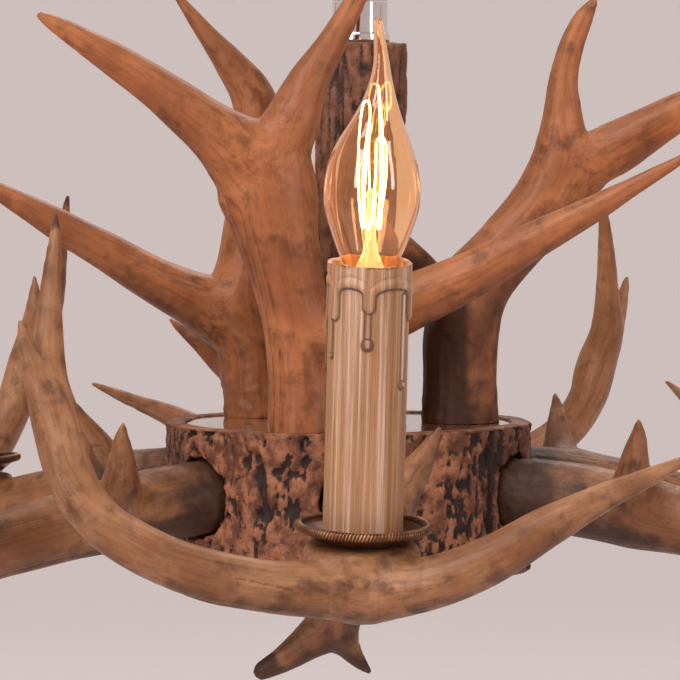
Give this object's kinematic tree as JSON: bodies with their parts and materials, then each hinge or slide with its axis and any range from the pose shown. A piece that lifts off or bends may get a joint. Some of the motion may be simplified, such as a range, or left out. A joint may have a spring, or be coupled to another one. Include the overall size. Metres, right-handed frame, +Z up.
{
  "type": "antler chandelier",
  "caption": "Antler chandelier: candle lights on antler arms around a bark-covered hub, upright antlers on the deck, and a swivelling hanger.",
  "frame": {"origin": "centre of the hanging eye at the top of the link", "axes": "+Z up; -Y towards the viewer of the picture; +X to their right"},
  "size_m": [0.4926, 0.4619, 0.3298],
  "materials": {
    "antler": "satin, grained",
    "bark": "rough bark",
    "deck": "glossy",
    "candle": "satin, streaked",
    "antique_brass": "antique",
    "nickel": "polished",
    "dark_bronze": "satin",
    "steel": "zinc plated",
    "bulb_glass": "amber, clear",
    "filament": "glowing",
    "black_plastic": "moulded",
    "wire_sheath": "smooth"
  },
  "bodies": {
    "link": {"hanging_link": "dark_bronze"},
    "yoke": {"hanger_yoke": "nickel", "yoke_pin": "nickel", "swivel_stud": "steel"},
    "chandelier": {"arm_antler_front": "antler", "arm_antler_right_front": "antler", "arm_antler_right_back": "antler", "arm_antler_back": "antler", "arm_antler_left_back": "antler", "arm_antler_left_front": "antler", "drip_tray_front": "antique_brass", "drip_tray_right_front": "antique_brass", "drip_tray_right_back": "antique_brass", "drip_tray_back": "antique_brass", "drip_tray_left_back": "antique_brass", "drip_tray_left_front": "antique_brass", "candle_sleeve_front": "candle", "candle_sleeve_right_front": "candle", "candle_sleeve_right_back": "candle", "candle_sleeve_back": "candle", "candle_sleeve_left_back": "candle", "candle_sleeve_left_front": "candle", "upright_antler_front": "antler", "upright_antler_left": "antler", "upright_antler_right": "antler", "finial_antler": "antler", "hub_stump": "bark", "hub_deck": "deck", "hub_bottom_plate": "steel", "antler_bolts": "steel", "bark_post": "bark", "hanging_rod": "steel", "rod_nuts": "steel", "terminal_ring": "black_plastic", "light_wires": "wire_sheath", "top_flange": "nickel", "swivel_collar": "nickel", "lampholders": "black_plastic", "candle_nipples": "steel"},
    "bulb_front": {"bulb_glass_front": "bulb_glass", "bulb_cap_front": "steel", "bulb_filament_front": "filament"},
    "bulb_right_front": {"bulb_glass_right_front": "bulb_glass", "bulb_cap_right_front": "steel", "bulb_filament_right_front": "filament"},
    "bulb_right_back": {"bulb_glass_right_back": "bulb_glass", "bulb_cap_right_back": "steel", "bulb_filament_right_back": "filament"},
    "bulb_back": {"bulb_glass_back": "bulb_glass", "bulb_cap_back": "steel", "bulb_filament_back": "filament"},
    "bulb_left_back": {"bulb_glass_left_back": "bulb_glass", "bulb_cap_left_back": "steel", "bulb_filament_left_back": "filament"},
    "bulb_left_front": {"bulb_glass_left_front": "bulb_glass", "bulb_cap_left_front": "steel", "bulb_filament_left_front": "filament"}
  },
  "joints": [
    {"name": "hanger_swing", "type": "hinge", "parent": "link", "child": "yoke", "pos_m": [0, 0, -0.026], "axis": [1, 0, 0], "range_deg": [-25, 25]},
    {"name": "hanger_swivel", "type": "hinge", "parent": "yoke", "child": "chandelier", "pos_m": [0, 0, -0.0429], "axis": [0, 0, 1], "range_deg": [-170, 170]},
    {"name": "bulb_front_turn", "type": "hinge", "parent": "chandelier", "child": "bulb_front", "pos_m": [0.00258, -0.20558, -0.14471], "axis": [0.0262, -0.0871, 0.9959], "range_deg": [0, 1080]},
    {"name": "bulb_right_front_turn", "type": "hinge", "parent": "chandelier", "child": "bulb_right_front", "pos_m": [0.18965, -0.0794, -0.14471], "axis": [0.071, -0.0569, 0.9959], "range_deg": [0, 1080]},
    {"name": "bulb_right_back_turn", "type": "hinge", "parent": "chandelier", "child": "bulb_right_back", "pos_m": [0.17489, 0.10809, -0.14471], "axis": [0.0612, 0.0673, 0.9959], "range_deg": [0, 1080]},
    {"name": "bulb_back_turn", "type": "hinge", "parent": "chandelier", "child": "bulb_back", "pos_m": [-0.00258, 0.20558, -0.14471], "axis": [-0.0262, 0.0871, 0.9959], "range_deg": [0, 1080]},
    {"name": "bulb_left_back_turn", "type": "hinge", "parent": "chandelier", "child": "bulb_left_back", "pos_m": [-0.17933, 0.10056, -0.14471], "axis": [-0.0885, 0.0209, 0.9959], "range_deg": [0, 1080]},
    {"name": "bulb_left_front_turn", "type": "hinge", "parent": "chandelier", "child": "bulb_left_front", "pos_m": [-0.17101, -0.11413, -0.14471], "axis": [-0.0588, -0.0694, 0.9959], "range_deg": [0, 1080]}
  ]
}
